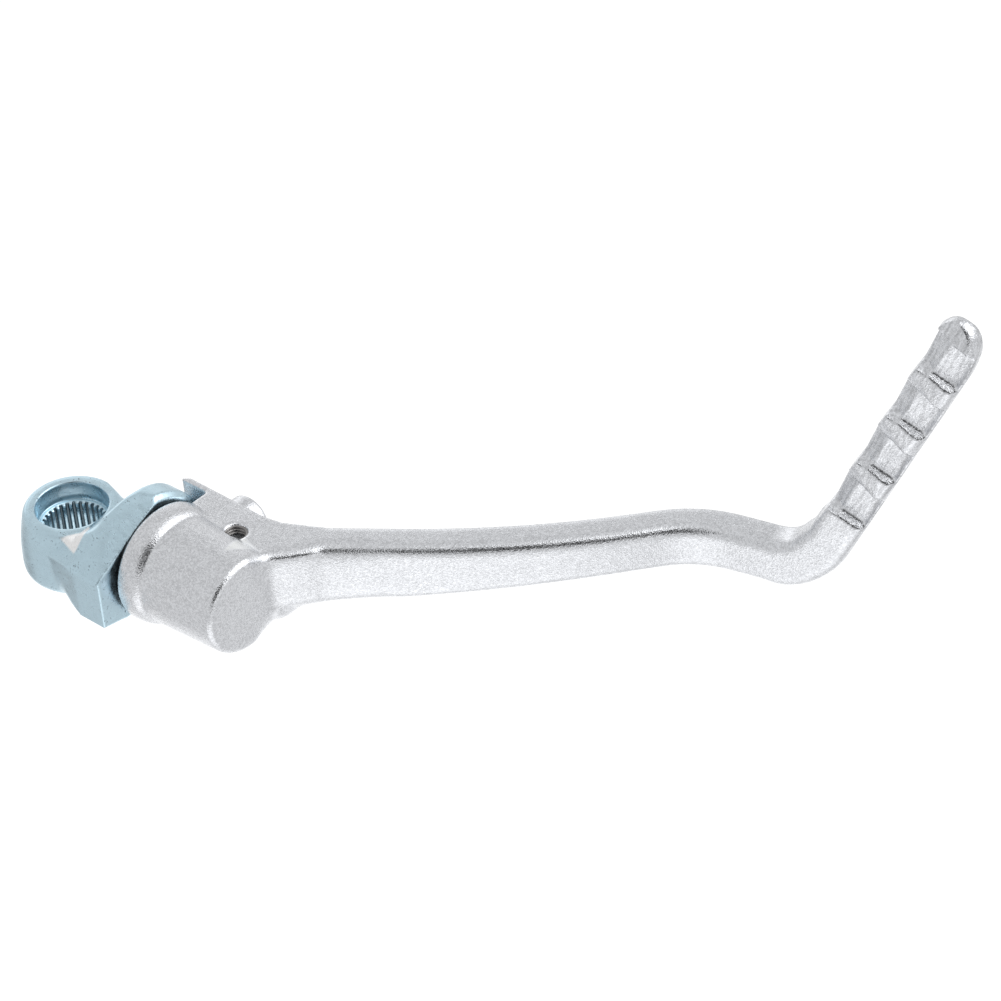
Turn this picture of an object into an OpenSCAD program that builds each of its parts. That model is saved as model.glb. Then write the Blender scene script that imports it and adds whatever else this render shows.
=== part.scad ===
// Folding kick start lever: a splined steel knuckle and an aluminium lever that swings on its pin.
// X runs outward along the pivot pin, Y to the back of the swing, Z along the spline, up and outboard.
// The origin is on the spline axis, in the plane of the hub's back face.

/* [Spline hub] */
// Diameter of the hub at its rim
hub_d = 27.2; // [25:0.2:30]
// How far the forged side of the hub swells beyond its rim
hub_swell = 1.7; // [0:0.1:2]
// Height of the hub
hub_h = 20.5; // [19:0.5:23]
// Diameter across the roots of the spline
spline_root_d = 18; // [16:0.25:18.5]
// Depth of one spline tooth
tooth_h = 0.8; // [0.5:0.05:1]
// Number of spline teeth
teeth = 30; // [24:1:36]
// Diameter of the counterbore for the shaft screw's washer
counterbore_d = 20; // [19:0.5:21]
// Depth of the counterbore
counterbore_depth = 5.8; // [4:0.2:7]

/* [Flange and lug] */
// Distance from the spline axis to the face of the flange
flange_x = 26.8; // [26:0.2:29]
// Diameter of the flange
flange_d = 37.2; // [36:0.2:39]
// Thickness of the flange
flange_t = 9.4; // [8:0.2:11]
// Distance from the pin axis down to the flange's flat underside
flat_drop = 12.3; // [11.5:0.1:12.4]
// Distance from the pin axis to the outer face of the lug
lug_reach = 21.7; // [20:0.1:23]
// Thickness of the lug
lug_t = 9.5; // [7:0.5:10]

/* [Pivot] */
// Height of the pin axis above the hub's back face
pin_z = 12.5; // [12.4:0.1:13]
// Sideways offset of the pin axis from the spline axis
pin_y = 4.7; // [3:0.1:6]
// Diameter of the pivot pin
pin_d = 19; // [17:0.5:20]
// Length of the pin beyond the flange
pin_len = 26.7; // [25:0.1:28]
// Play of the pin in its bore, on the radius
pin_play = 0.1; // [0.05:0.05:0.2]
// Gap between the flange and the lever's collar
collar_gap = 1.4; // [1.2:0.1:2]

/* [Boss] */
// Diameter of the collar
collar_d = 34; // [33:0.5:35]
// Width of the collar
collar_w = 2.2; // [2:0.2:3]
// Diameter of the boss beside the collar
boss_root_d = 30.6; // [29:0.2:31]
// Diameter of the boss at its end face
boss_end_d = 28.4; // [27:0.2:29]
// Length of the boss with its collar
boss_len = 32.4; // [31:0.2:35]
// Height of the top plate's face above the pin axis
plate_top = 11; // [10.5:0.1:11.5]
// Depth of the top plate
plate_t = 18.5; // [16:0.5:20]
// Distance from the pin axis to the back edge of the plate
plate_back = 20.8; // [20.6:0.1:22]

/* [Stop finger] */
// Length of the finger beyond the plate
finger_len = 10; // [8:0.5:10]
// Clearance between the finger and the flange
stop_gap = 0.3; // [0.25:0.05:0.5]
// Thickness of the foot that meets the flat
foot_t = 3.2; // [2.5:0.1:4]

/* [Retaining bolt] */
// Thread diameter of the bolt
bolt_d = 6; // [5:0.5:6]
// Distance from the collar's face to the bolt
bolt_x = 18.4; // [17:0.2:19]
// Distance from the pin axis to the bolt
bolt_y = 11.5; // [11.4:0.1:11.8]
// Diameter of the bolt's head
head_d = 10; // [9:0.5:10.5]
// Height of the bolt's head
head_h = 5; // [4:0.5:5.5]
// Distance from the plate's face down to the bolt's end
bolt_sink = 3.2; // [2:0.2:4]

/* [Detent] */
// Distance from the collar's face to the detent housing
detent_x = 6.8; // [6.6:0.1:7.4]
// Outside diameter of the detent housing
housing_d = 13.4; // [12.8:0.2:14]
// Distance from the pin axis to the end of the housing
housing_reach = 28.4; // [27:0.2:29]
// Diameter of the ball
ball_d = 7.6; // [7:0.1:7.8]
// How far the ball reaches into the pin
ball_bite = 1.1; // [0.8:0.1:1.3]
// Wire diameter of the spring
wire_d = 0.9; // [0.7:0.1:1]
// Turns of the spring
spring_turns = 4; // [3:0.5:5]
// Length of the plug
plug_t = 3.5; // [3:0.5:4]

/* [Arm] */
// Width of the arm
arm_w = 10.6; // [9.5:0.1:11.5]
// Height of the arm where it leaves the boss
arm_root_h = 21; // [19:0.5:22]
// Height of the arm before the pedal
arm_tip_h = 13.6; // [12.5:0.1:14.5]
// Direction in which the arm leaves, from the pin axis
arm_turn = 35.8; // [34:0.1:37]
// Length of the first straight stretch
arm_straight = 29.8; // [25:0.1:35]
// Radius of the long backward curve
back_curve_r = 264; // [240:1:300]
// Length of the long backward curve
back_curve_len = 61.8; // [55:0.1:68]
// Length of the middle straight stretch
arm_middle = 6.1; // [4:0.1:10]
// Radius of the forward curve
front_curve_r = 33; // [28:1:40]
// Length of the forward curve
front_curve_len = 20; // [16:0.5:22]
// Length of the last straight stretch
arm_end = 9.8; // [8:0.2:14]

/* [Pedal] */
// Angle of the pedal above the arm
pedal_lift = 63.5; // [55:0.5:70]
// Radius of the bend at its middle line
bend_r = 21; // [16:0.5:25]
// Length of the pedal
pedal_len = 87; // [86:1:96]
// Width of the pedal where it leaves the bend
pedal_h = 11.9; // [11:0.1:13]
// Growth of that width towards the tip
pedal_growth = 1.2; // [0:0.1:2]
// Thickness of the pedal
pedal_w = 10; // [9:0.2:11]
// Length of the plain head above the last notch
head_len = 6; // [5:0.2:9]
// Number of notches in the tread
notches = 4; // [1:1:4]
// Spacing of the notches
notch_pitch = 19.1; // [18:0.1:19.4]
// Length of one notch
notch_len = 11.4; // [9:0.1:12]
// Depth of a notch
notch_depth = 2.5; // [1.8:0.1:3]

/* [Hidden] */
steel_blue = "#a9c6d0";
silver = "#c9cbd0";
$fn = 96;

// Derived sizes, all from the pin axis unless named otherwise
flange_r = flange_d / 2;
pin_r = pin_d / 2;
bore_r = pin_r + pin_play;
collar_x = flange_x + collar_gap;
boss_x = collar_x + boss_len;
pin_end = flange_x + pin_len;
bore_end = pin_end + 0.4;
foot_drop = flat_drop + stop_gap;
finger_in = flange_r + stop_gap;
bolt_r = bolt_d / 2;
hole_play = 0.05;
groove_r = bolt_y - bolt_r - stop_gap;
ball_r = ball_d / 2;
ball_y = pin_r - ball_bite + ball_r;
track_r = pin_r - ball_bite - stop_gap;
plug_r = ball_r + 0.8;
plug_y = housing_reach - 0.6 - plug_t;
head_seat = -7.2;
pad_bottom = head_seat - head_h - 0.2;
ring_r = 1.1;
ring_mid = 14.6;
ring_seat = 0.1;

// Moves children from the pin axis frame to the part's own frame
module at_pin() {
    translate([0, pin_y, pin_z]) children();
}

// Turns a profile of (radius, distance) points about the pin axis, distances measured along X
module turned(points) {
    rotate([90, 0, 90]) rotate_extrude() polygon(points);
}

module x_cylinder(r, from, to) {
    translate([from, 0, 0]) rotate([0, 90, 0]) cylinder(r = r, h = to - from);
}

// Corner points of an arc, angles in degrees
function arc(cx, cy, r, from, to, steps = 8) =
    [for (i = [0:steps]) let (a = from + (to - from) * i / steps) [cx + r * cos(a), cy + r * sin(a)]];

// Knuckle

hub_r = hub_d / 2;
edge_r = 1.2;
back_edge_r = 4;

// Hub, with the planar facet on its rim where it faces the lug
module hub_body() {
    facet_turn = -37;
    facet_reach = 12.8;
    slope = 0.38;
    down = 8;
    wide_at = 6.5;
    drop = hub_h - edge_r - wide_at;
    difference() {
        rotate_extrude()
            polygon(concat(
                [[0, 0]],
                arc(hub_r + hub_swell - back_edge_r, back_edge_r, back_edge_r, -90, 0, 6),
                [for (i = [0:6]) let (t = i / 6)
                    [hub_r + hub_swell * (1 - pow(t, 1.8)), wide_at + drop * t]],
                arc(hub_r - edge_r, hub_h - edge_r, edge_r, 15, 90, 5),
                [[0, hub_h]]));
        rotate([90, 0, facet_turn]) linear_extrude(hub_d, center = true)
            polygon([
                [facet_reach - slope, hub_h + 1],
                [hub_d, hub_h + 1],
                [hub_d, hub_h - down],
                [facet_reach + slope * down, hub_h - down]]);
    }
}

// Star outline of the spline bore: each tooth has a narrow land and a narrow root
module spline_outline() {
    root_r = spline_root_d / 2;
    land_r = root_r - tooth_h;
    step = 360 / teeth;
    polygon([for (i = [0:teeth - 1], c = [[-0.36, land_r], [-0.14, root_r], [0.14, root_r], [0.36, land_r]])
        let (a = (i + c[0]) * step) [c[1] * cos(a), c[1] * sin(a)]]);
}

module hub_bore() {
    lead_in = 0.8;
    lead_deep = tooth_h + 0.3;
    translate([0, 0, -1]) linear_extrude(hub_h) spline_outline();
    translate([0, 0, hub_h - counterbore_depth]) cylinder(d = counterbore_d, h = counterbore_depth + 1);
    translate([0, 0, hub_h - 0.5]) cylinder(d1 = counterbore_d, d2 = counterbore_d + 2, h = 1);
    translate([0, 0, -0.01]) cylinder(d1 = spline_root_d + 2 * lead_in, d2 = spline_root_d - 2 * lead_deep,
        h = lead_in + lead_deep);
}

lug_top = 4.8;
lug_foot = 10.5;
lug_len = sqrt(pow(lug_reach, 2) + pow(lug_top, 2));
lug_lean = asin(flange_r / lug_len) - atan(lug_top / lug_reach);
lug_run = sqrt(pow(lug_len, 2) - pow(flange_r, 2));
flat_half = sqrt(pow(flange_r, 2) - pow(flat_drop, 2));

// Lug outline seen along the pin: its top slopes up and meets the flange as a tangent
module lug_outline() {
    polygon([
        [-lug_reach, lug_top],
        [-lug_reach, -lug_foot],
        [-flat_half + 1, -flat_drop],
        [0, -flat_drop],
        [0, 0],
        [-lug_reach + lug_run * cos(lug_lean), lug_top + lug_run * sin(lug_lean)]]);
}

// Flange: round about the pin, its rear cut by a forged face that leans outward above the hub
module flange() {
    bevel = 0.5;
    rear_from = 3;
    rear_y = -4.1;
    rear_x = flange_x - flange_t - 5.2;
    rear_turn = -10.2;
    lean = 0.62;
    level = hub_h - pin_z;
    difference() {
        turned([
            [0, rear_from],
            [hub_r - 3, rear_from],
            [hub_r, rear_x],
            [flange_r - 2.2, rear_x + 4.2],
            [flange_r - 0.6, rear_x + 6.2],
            [flange_r, rear_x + 7.6],
            [flange_r, flange_x - bevel],
            [flange_r - bevel, flange_x],
            [0, flange_x]]);
        translate([rear_x, rear_y, 0]) rotate([90, 0, rear_turn]) linear_extrude(3 * flange_d, center = true)
            polygon([
                [0, -flange_d],
                [0, level],
                [lean * flange_r, level + flange_r],
                [-flange_d, level + flange_r],
                [-flange_d, -flange_d]]);
    }
}

// Web that carries the lug back to the hub
module lug_web() {
    web_top = 1.2;
    foot_x = 7.4;
    foot_y = 11.4;
    top_x = 2.4;
    top_y = 13.3;
    back_r = 12;
    slice = 0.1;
    hull() {
        translate([flange_x - lug_t, 0, 0]) rotate([90, 0, 90]) linear_extrude(1) lug_outline();
        x_cylinder(back_r, flange_x - lug_t, flange_x - lug_t + slice, $fn = 32);
        translate([0, -foot_y - pin_y, back_edge_r - pin_z]) cube([foot_x, 2 * foot_y, slice]);
        translate([0, -top_y - pin_y, web_top - slice]) cube([top_x, 2 * top_y, slice]);
    }
}

module pin_pocket(turn) {
    rotate([turn, 0, 0]) translate([collar_x + detent_x, pin_r + ball_r - ball_bite - 0.5, 0]) sphere(d = ball_d);
}

module pin() {
    nose = 1.2;
    groove_w = bolt_d + 2 * stop_gap;
    track_w = ball_d - 1.2;
    gx = collar_x + bolt_x;
    tx = collar_x + detent_x;
    turned([
        [0, flange_x - 2],
        [pin_r, flange_x - 2],
        [pin_r, tx - track_w / 2],
        [track_r, tx - track_w / 4],
        [track_r, tx + track_w / 4],
        [pin_r, tx + track_w / 2],
        [pin_r, gx - groove_w / 2],
        [groove_r, gx - groove_w / 2],
        [groove_r, gx + groove_w / 2],
        [pin_r, gx + groove_w / 2],
        [pin_r, pin_end - nose],
        [pin_r - nose, pin_end],
        [0, pin_end]]);
}

module knuckle() {
    color(steel_blue)
        difference() {
            union() {
                hub_body();
                at_pin() {
                    difference() {
                        union() {
                            flange();
                            translate([flange_x - lug_t, 0, 0]) rotate([90, 0, 90])
                                linear_extrude(lug_t) lug_outline();
                            lug_web();
                        }
                        translate([-1, -flange_d, -flange_d - flat_drop])
                            cube([flange_x + 2, 2 * flange_d, flange_d]);
                    }
                    pin();
                }
            }
            hub_bore();
            at_pin() {
                pin_pocket(0);
                pin_pocket(-90);
            }
            translate([-hub_r, -hub_d, hub_h]) cube([2 * hub_r - 2, 2 * hub_d, flange_d]);
        }
}

// Lever

collar_r = collar_d / 2;
boss_root_r = boss_root_d / 2;
boss_end_r = boss_end_d / 2;

// Boss and collar: a lipped collar, a hollow fillet and a boss that narrows to a rounded end
module boss() {
    lip = 0.8;
    hollow = 5;
    end_r = 1.8;
    drop = collar_r - boss_root_r;
    hollow_x = collar_x + collar_w;
    turned(concat(
        [[0, collar_x], [collar_r - lip, collar_x], [collar_r, collar_x + lip]],
        [for (i = [0:8]) let (a = i * 90 / 8) [collar_r - drop * (1 - cos(a)), hollow_x + hollow * sin(a)]],
        [for (i = [0:6]) let (a = i * 15) [boss_end_r - end_r * (1 - cos(a)), boss_x - end_r * (1 - sin(a))]],
        [[0, boss_x]]));
}

// Plan of the top plate, in the pin axis frame
module plate_outline() {
    straight = 20.5;
    swept = 36;
    sweep_out = 6.2;
    front = 12.6;
    polygon([
        [collar_x, 0],
        [collar_x, plate_back],
        [collar_x + straight, plate_back],
        [collar_x + straight + 5, plate_back + 1],
        [collar_x + swept, plate_back + sweep_out],
        [boss_x + 9, front + 5.8],
        [boss_x + 4.2, front],
        [boss_x - 0.5, front - 4.8],
        [boss_x - 3, 0]]);
}

module plate() {
    translate([0, 0, plate_top - plate_t]) linear_extrude(plate_t) plate_outline();
}

// Stop finger: a wall beside the flange and a foot under its flat. The foot's top stops the opening swing,
// its inner end stops the folding swing.
module finger() {
    out = plate_back;
    x0 = collar_x - finger_len;
    slant = 2.4;
    run = collar_x + 7;
    low = foot_drop + foot_t;
    translate([0, 0, -low]) linear_extrude(low + plate_top)
        polygon([[x0, finger_in], [x0 + slant, out], [run, out], [run, finger_in]]);
    translate([0, 0, -low]) linear_extrude(foot_t)
        polygon([[x0, finger_in], [x0 + slant, out], [run, out], [run, foot_drop], [x0, foot_drop]]);
}

// Round housing behind the plate that holds the detent
module detent_housing() {
    bevel = 1;
    translate([collar_x + detent_x, 0, 0]) rotate([-90, 0, 0]) {
        translate([0, 0, pin_r + 2]) cylinder(d = housing_d, h = housing_reach - bevel - pin_r - 2);
        translate([0, 0, housing_reach - bevel]) cylinder(d1 = housing_d, d2 = housing_d - 2 * bevel, h = bevel);
    }
}

// Round pad around the bolt's head, below the plate
module bolt_pad() {
    wall = 2.5;
    cover = 4;
    translate([collar_x + bolt_x, bolt_y, pad_bottom])
        cylinder(d = head_d + 2 * wall, h = plate_top - pad_bottom - cover);
}

// Path of the arm. Each station is [x, y, z, heading, lift, width, height, corner radius], from arcs and straights.
start_x = boss_x - 0.7;
start_y = 18.95;

function h1() = arm_turn;
function h2() = arm_turn + back_curve_len / back_curve_r * 180 / PI;
function h3() = h2() - front_curve_len / front_curve_r * 180 / PI;
function along(p, h, d) = [p[0] + d * cos(h), p[1] + d * sin(h)];
function left_arc(p, h, r, d) =
    let (t = d / r * 180 / PI) [p[0] + r * (sin(h + t) - sin(h)), p[1] - r * (cos(h + t) - cos(h))];
function right_arc(p, h, r, d) =
    let (t = d / r * 180 / PI) [p[0] - r * (sin(h - t) - sin(h)), p[1] + r * (cos(h - t) - cos(h))];

p0 = [start_x, start_y];
p1 = along(p0, h1(), arm_straight);
p2 = left_arc(p1, h1(), back_curve_r, back_curve_len);
p3 = along(p2, h2(), arm_middle);
p4 = right_arc(p3, h2(), front_curve_r, front_curve_len);
p5 = along(p4, h3(), arm_end);
d1 = arm_straight;
d2 = d1 + back_curve_len;
d3 = d2 + arm_middle;
lead = -9;
corner_r = 2.8;
ring_n = 24;

// Arm height narrows along its length with the top face level, and flares down into the boss
root_flare = 5.2;
flare_at = -4.6;
flare_len = 4.2;
function arm_h(d) =
    arm_tip_h + (arm_root_h - arm_tip_h) * pow(max(0, 1 - max(d, 0) / d3), 1.6)
        + root_flare * exp(-pow(max(0, d - flare_at) / flare_len, 2));
function flat_station(p, h, d) = [p[0], p[1], plate_top - arm_h(d) / 2, h, 0, arm_w, arm_h(d), corner_r];

bend_z = plate_top - arm_tip_h / 2;
bend_end = [
    p5[0] + bend_r * sin(pedal_lift) * cos(h3()),
    p5[1] + bend_r * sin(pedal_lift) * sin(h3()),
    bend_z + bend_r * (1 - cos(pedal_lift))];
tip_round = 9;
tip_lean = 1.2;
lean_len = 10.3;
pedal_shift = 0.25;
head_corner_r = 4;

// The bend is thicker on its outer side near its start, and on its inner side near its end
bend_swell = 10;
bend_fill = 0.9;
function bend_station(k) =
    let (b = pedal_lift * k, outer = bend_swell * k * pow(1 - k, 3), inner = bend_fill * exp(-pow((k - 0.8) / 0.25, 2)),
        swell = outer + inner, r = bend_r + (outer - inner) / 2 + pedal_shift * k)
    [p5[0] + r * sin(b) * cos(h3()), p5[1] + r * sin(b) * sin(h3()), bend_z + bend_r - r * cos(b),
        h3(), b, arm_w + (pedal_w - arm_w) * k, arm_tip_h + (pedal_h - arm_tip_h) * k + swell, corner_r];
function pedal_point(s) = [
    bend_end[0] + s * cos(pedal_lift) * cos(h3()),
    bend_end[1] + s * cos(pedal_lift) * sin(h3()),
    bend_end[2] + s * sin(pedal_lift)];
function pedal_station(s, k, r = corner_r) =
    let (p = pedal_point(s), out = max(-pedal_shift, tip_lean * (1 - (pedal_len - s) / lean_len)), b = pedal_lift)
    [p[0] - out * sin(b) * cos(h3()), p[1] - out * sin(b) * sin(h3()), p[2] + out * cos(b), h3(), b,
        pedal_w * k, (pedal_h + pedal_growth * s / pedal_len) * k, r * k];

stations = concat(
    [for (i = [0:9]) let (d = lead * (1 - i / 10)) flat_station(along(p0, h1(), d), h1(), d)],
    [for (i = [0:10]) let (d = d1 * i / 10) flat_station(along(p0, h1(), d), h1(), d)],
    [for (i = [1:8]) let (e = back_curve_len * i / 8)
        flat_station(left_arc(p1, h1(), back_curve_r, e), h1() + e / back_curve_r * 180 / PI, d1 + e)],
    [for (i = [0:6]) let (e = front_curve_len * i / 6)
        flat_station(right_arc(p3, h2(), front_curve_r, e), h2() - e / front_curve_r * 180 / PI, d3 + e)],
    [for (i = [0:9]) bend_station(i / 9)],
    [pedal_station(pedal_len - tip_round - 4, 1)],
    [for (i = [0:6]) let (a = i * 14)
        pedal_station(pedal_len - tip_round * (1 - sin(a)), cos(a), head_corner_r)]);

// Rounded rectangle of width w and height h with its corner radius, as ring_n points
function section(w, h, corner) =
    let (r = min(corner, w / 2 - 0.05, h / 2 - 0.05))
    [for (q = [0:3], i = [0:5])
        let (a = q * 90 + i * 18, sx = (q == 0 || q == 3) ? 1 : -1, sy = q < 2 ? 1 : -1)
        [sx * (w / 2 - r) + r * cos(a), sy * (h / 2 - r) + r * sin(a)]];

// Sets one section into space: width across the arm, height along its own up direction
function ring(st) =
    let (h = st[3], b = st[4])
    [for (p = section(st[5], st[6], st[7]))
        [st[0] - p[0] * sin(h) - p[1] * cos(h) * sin(b),
         st[1] + p[0] * cos(h) - p[1] * sin(h) * sin(b),
         st[2] + p[1] * cos(b)]];

module sweep(list) {
    n = ring_n;
    m = len(list);
    polyhedron(
        points = [for (st = list) each ring(st)],
        faces = concat(
            [[for (i = [0:n - 1]) i]],
            [for (k = [0:m - 2], i = [0:n - 1])
                [k * n + i, (k + 1) * n + i, (k + 1) * n + (i + 1) % n, k * n + (i + 1) % n]],
            [[for (i = [n - 1:-1:0]) (m - 1) * n + i]]),
        convexity = 6);
}

// Places children in the pedal's frame: X to its back edge, Y away from the foot, Z along the pedal
module on_pedal(s) {
    translate(pedal_point(s)) rotate([0, 0, h3()]) rotate([0, 90 - pedal_lift, 0]) children();
}

first_notch = pedal_len - head_len - notch_len - notch_pitch * (notches - 1);
front = -pedal_w / 2;

// Inner edge of the pedal at distance s, across its tread side
function inner_edge(s) = pedal_shift - (pedal_h + pedal_growth * s / pedal_len) / 2;

// Solid through four-sided slices, each [distance along Z, points]
module loft(slices) {
    n = 4;
    m = len(slices);
    polyhedron(
        points = [for (e = slices, p = e[1]) [p[0], p[1], e[0]]],
        faces = concat(
            [[for (i = [0:n - 1]) i]],
            [for (k = [0:m - 2], i = [0:n - 1]) each [
                [k * n + i, (k + 1) * n + i, (k + 1) * n + (i + 1) % n],
                [k * n + i, (k + 1) * n + (i + 1) % n, k * n + (i + 1) % n]]],
            [[for (i = [n - 1:-1:0]) (m - 1) * n + i]]),
        convexity = 4);
}

// Forged face of the head or of a rib, as a cut between two slices. Each slice is [distance along the pedal,
// where the face starts, how deep it is there, its tilt].
module tread_face(slices) {
    fall = pedal_h;
    loft([for (e = slices) [e[0], [
        [e[1] - fall, front + e[2] + fall * tan(e[3])],
        [e[1] - fall, front - 1],
        [e[1] + 1 + e[2], front - 1],
        [e[1], front + e[2]]]]]);
}

// One notch: a flat floor with a steep wall at its foot, and a sloping cut along the inner corner
module notch() {
    foot_run = 1.3;
    rim = 5;
    step = -1.6;
    overlap = 0.2;
    raised = 0.35;
    cut_to = -7;
    cut_deep = 4.1;
    over = 3;
    deep = front + notch_depth;
    floor_slice = [
        [step, deep],
        [step, front - over],
        [rim + notch_depth + over, front - over],
        [rim, deep]];
    floor_foot = [
        [step, front],
        [step, front - over],
        [rim + notch_depth + over, front - over],
        [rim + notch_depth, front]];
    loft([[-foot_run, floor_foot], [0, floor_slice], [notch_len, floor_slice]]);
    cut_slice = [
        [cut_to, deep + cut_deep],
        [cut_to, front - over],
        [step + overlap, front - over],
        [step + overlap, deep - raised]];
    cut_foot = [
        [cut_to, front + cut_deep],
        [cut_to, front - over],
        [step + overlap, front - over],
        [step + overlap, front - raised]];
    loft([[-foot_run, cut_foot], [0, cut_slice], [notch_len, cut_slice]]);
}

// Waves along the inner edge: narrowest at the foot of each notch
module inner_waves() {
    bite = 0.7;
    rib = notch_pitch - notch_len;
    rotate([90, 0, 0]) linear_extrude(2 * pedal_w, center = true)
        for (i = [0:notches - 1]) {
            at = first_notch + i * notch_pitch;
            polygon([
                [inner_edge(at - rib), at - rib],
                [inner_edge(at) + bite, at],
                [inner_edge(at + notch_len), at + notch_len],
                [-pedal_h, at + notch_len],
                [-pedal_h, at - rib]]);
        }
}

// Everything that is cut from the pedal
module tread() {
    rib = notch_pitch - notch_len;
    on_pedal(0) {
        tread_face([[pedal_len - head_len - 2, 4.6, 0, 15], [pedal_len + 1, 3.6, 1.2, 20]]);
        inner_waves();
    }
    for (i = [0:notches - 1]) {
        at = first_notch + i * notch_pitch;
        on_pedal(at) notch();
        if (i > 0) on_pedal(0) tread_face([[at - rib - 0.5, 4.4, 0, 17], [at, 1.8, 0, 8]]);
    }
}

// Web under the arm's root, level with the bottom of the boss end
module root_web() {
    from = boss_x - 8;
    drop = boss_end_r - 1.5;
    out = 17;
    hull() {
        x_cylinder(drop, from, start_x);
        translate([from, out - 6, -drop]) cube([start_x - from, 6, drop]);
    }
}

module lever() {
    color(silver)
        at_pin() difference() {
            union() {
                boss();
                plate();
                finger();
                detent_housing();
                bolt_pad();
                root_web();
                difference() {
                    sweep(stations);
                    tread();
                }
            }
            x_cylinder(bore_r, collar_x - 1, bore_end);
            turned([
                [ring_mid - ring_r - ring_seat, collar_x - 1],
                [ring_mid + ring_r + ring_seat, collar_x - 1],
                [ring_mid + ring_r + ring_seat, collar_x + ring_r],
                [ring_mid - ring_r - ring_seat, collar_x + ring_r]]);
            translate([collar_x + bolt_x, bolt_y, 0]) {
                translate([0, 0, pad_bottom - 1]) cylinder(r = bolt_r + hole_play, h = 40);
                translate([0, 0, pad_bottom - 1]) cylinder(d = head_d + 0.6, h = head_seat - pad_bottom + 1);
                translate([0, 0, plate_top - 0.6]) cylinder(r1 = bolt_r, r2 = bolt_r + 0.8, h = 0.8);
            }
            translate([collar_x + detent_x, 0, 0]) rotate([-90, 0, 0]) {
                translate([0, 0, pin_r - 2]) cylinder(r = ball_r + 0.1, h = housing_reach);
                translate([0, 0, plug_y]) cylinder(r = plug_r, h = housing_reach);
            }
        }
}

// Small parts

module seal_ring() {
    color("#141414")
        at_pin() translate([collar_x - 0.15, 0, 0]) rotate([90, 0, 90])
            rotate_extrude() translate([ring_mid, 0]) circle(r = ring_r, $fn = 32);
}

module retaining_bolt() {
    socket = 5;
    color("#b9bcc0")
        at_pin() translate([collar_x + bolt_x, bolt_y, 0]) difference() {
            union() {
                translate([0, 0, head_seat - head_h]) cylinder(d = head_d, h = head_h);
                translate([0, 0, head_seat]) cylinder(r = bolt_r - hole_play, h = plate_top - bolt_sink - head_seat);
            }
            translate([0, 0, head_seat - head_h - 1]) cylinder(d = socket / cos(30), h = 3.5, $fn = 6);
        }
}

module detent_ball() {
    color("#d0d3d6")
        at_pin() translate([collar_x + detent_x, ball_y, 0]) sphere(d = ball_d);
}

spring_r = ball_r - wire_d / 2 - 0.4;
spring_from = ball_y + ball_r - 0.6;
spring_to = plug_y - wire_d / 2 - 0.05;

// Helix of the spring: rings of eight points follow the coil's middle line
module detent_spring() {
    per_turn = 20;
    n = 8;
    m = floor(spring_turns * per_turn);
    rise = spring_to - spring_from - wire_d;
    color("#8d9296")
        at_pin() translate([collar_x + detent_x, spring_from + wire_d / 2, 0]) rotate([-90, 0, 0])
            polyhedron(
                points = [for (k = [0:m], i = [0:n - 1])
                    let (t = k * 360 / per_turn, a = i * 360 / n, r = spring_r + wire_d / 2 * cos(a))
                    [r * cos(t), r * sin(t), rise * k / m + wire_d / 2 * sin(a)]],
                faces = concat(
                    [[for (i = [0:n - 1]) i]],
                    [for (k = [0:m - 1], i = [0:n - 1])
                        [k * n + i, (k + 1) * n + i, (k + 1) * n + (i + 1) % n, k * n + (i + 1) % n]],
                    [[for (i = [n - 1:-1:0]) m * n + i]]));
}

module detent_plug() {
    slot_w = 1.2;
    color("#b9bcc0")
        at_pin() translate([collar_x + detent_x, 0, 0]) rotate([-90, 0, 0]) difference() {
            translate([0, 0, plug_y]) cylinder(r = plug_r - hole_play, h = plug_t);
            translate([-plug_r, -slot_w / 2, plug_y + plug_t - 1]) cube([2 * plug_r, slot_w, 2]);
        }
}

knuckle();
lever();
seal_ring();
retaining_bolt();
detent_ball();
detent_spring();
detent_plug();
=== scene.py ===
"""Folding kick start lever: a zinc plated steel knuckle and a bead blasted aluminium lever.

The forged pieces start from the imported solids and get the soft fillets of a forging. The splined bore and the
thread of the bolt's hole are surfaces worked out with numpy. Lengths below are millimetres unless a name says
otherwise.
"""

import bpy
import numpy as np
from bpy.props import FloatProperty, FloatVectorProperty, IntProperty, PointerProperty
from mathutils import Matrix, Vector


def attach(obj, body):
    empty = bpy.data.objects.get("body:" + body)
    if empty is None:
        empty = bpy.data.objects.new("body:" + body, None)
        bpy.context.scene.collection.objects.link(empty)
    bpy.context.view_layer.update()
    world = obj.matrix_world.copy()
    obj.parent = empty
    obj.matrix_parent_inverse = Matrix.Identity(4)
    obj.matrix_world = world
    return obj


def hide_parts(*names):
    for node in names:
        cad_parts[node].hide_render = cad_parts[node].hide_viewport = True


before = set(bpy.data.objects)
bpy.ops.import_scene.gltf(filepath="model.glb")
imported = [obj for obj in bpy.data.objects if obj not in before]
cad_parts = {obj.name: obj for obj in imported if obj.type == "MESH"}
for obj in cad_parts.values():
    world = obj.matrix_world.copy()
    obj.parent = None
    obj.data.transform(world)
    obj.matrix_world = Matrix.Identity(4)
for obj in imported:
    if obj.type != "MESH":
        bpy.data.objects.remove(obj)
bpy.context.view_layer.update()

bl_info = {
    "name": "Kick start lever",
    "version": (1, 0, 0),
    "blender": (4, 5, 0),
    "location": "View3D > Sidebar > Kick lever",
    "description": "Builds the looks of a folding kick start lever around its packed solids",
    "category": "Object",
}

MM = 0.001

# Places on the part, from its solids: the pivot pin's axis, the hub, the tapped hole and the pedal
PIN_Y = 4.7
PIN_Z = 12.5
HUB_HEIGHT = 20.5
PLATE_TOP = PIN_Z + 11.0
HOLE_X = 46.6
HOLE_Y = PIN_Y + 11.5
BOLT_END = PLATE_TOP - 3.2
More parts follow.
